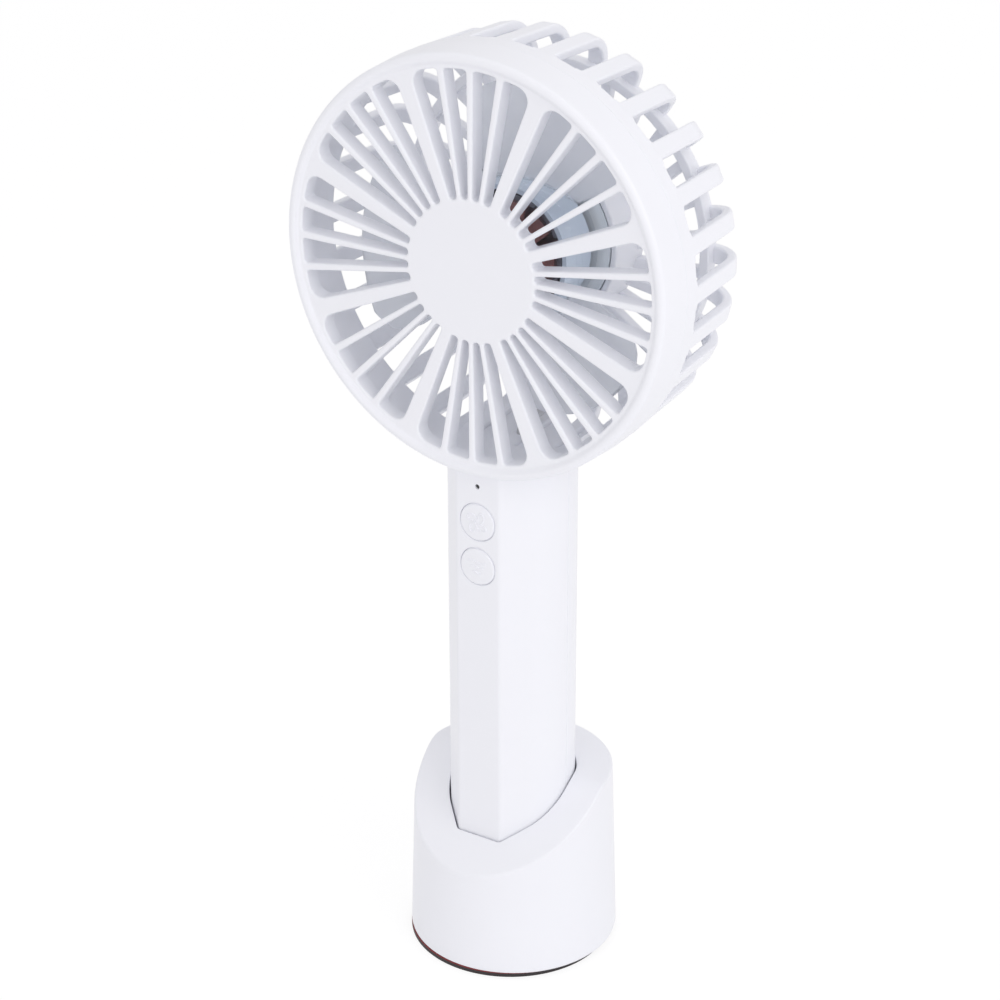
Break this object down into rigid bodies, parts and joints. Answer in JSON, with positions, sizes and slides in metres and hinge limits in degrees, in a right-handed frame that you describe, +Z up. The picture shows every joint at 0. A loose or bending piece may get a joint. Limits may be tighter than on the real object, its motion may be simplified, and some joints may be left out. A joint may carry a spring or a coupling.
{
  "type": "handheld fan",
  "caption": "Slim handheld fan with a round slotted head, a straight handle with press buttons, and a slant-topped desk base that the handle drops into.",
  "frame": {"origin": "centre of the base's footprint, on the surface it stands on", "axes": "+Z up, the grille and the buttons face -Y, +X is the viewer's right"},
  "size_m": [0.101, 0.0522, 0.2337],
  "materials": {
    "white_plastic": "satin moulded white",
    "grey_plastic": "moulded grey",
    "dark_plastic": "moulded black",
    "smoke_plastic": "cloudy translucent grey",
    "clear_plastic": "clear moulded",
    "steel": "plated steel",
    "core_steel": "dull steel",
    "brass": "turned brass",
    "copper_wire": "enamelled copper wire",
    "magnet": "sintered dark grey",
    "circuit_board": "green solder mask",
    "led": "clear resin",
    "battery_wrap": "shrink sleeve",
    "wire_cover": "soft insulation",
    "rubber": "matt dark rubber"
  },
  "bodies": {
    "base": {"base_shell": "white_plastic", "base_floor": "grey_plastic", "base_screws": "steel", "base_weight": "core_steel", "rubber_foot": "rubber"},
    "fan": {"front_grille": "white_plastic", "rear_cage": "white_plastic", "rear_cap": "white_plastic", "motor_plate": "steel", "bearing_holder": "brass", "motor_bearings": "steel", "stator_core": "core_steel", "motor_windings": "copper_wire", "motor_board": "circuit_board", "motor_screws": "steel", "motor_leads": "wire_cover", "handle_front_shell": "white_plastic", "handle_rear_shell": "white_plastic", "handle_screws": "steel", "switch_housings": "dark_plastic", "control_board": "circuit_board", "led_light_pipe": "clear_plastic", "led_chip": "led", "battery_cell": "battery_wrap", "battery_tabs": "steel", "battery_wires": "wire_cover", "charge_board": "circuit_board", "charge_socket": "steel"},
    "rotor": {"impeller": "smoke_plastic", "rotor_band": "steel", "rotor_magnet": "magnet", "motor_shaft": "steel", "shaft_clip": "steel"},
    "power_key": {"power_button": "white_plastic", "power_plunger": "dark_plastic"},
    "mode_key": {"mode_button": "white_plastic", "mode_plunger": "dark_plastic"}
  },
  "joints": [
    {"name": "fan_lift", "type": "slide", "parent": "base", "child": "fan", "axis": [0, 0, 1], "range_m": [0, 0.04]},
    {"name": "impeller_spin", "type": "hinge", "parent": "fan", "child": "rotor", "pos_m": [0, 0, 0.1832], "axis": [0, -1, 0], "continuous": true},
    {"name": "power_press", "type": "slide", "parent": "fan", "child": "power_key", "axis": [0, 1, 0], "range_m": [0, 0.0004], "stiffness_N_per_m": 300},
    {"name": "mode_press", "type": "slide", "parent": "fan", "child": "mode_key", "axis": [0, 1, 0], "range_m": [0, 0.0004], "stiffness_N_per_m": 300}
  ]
}
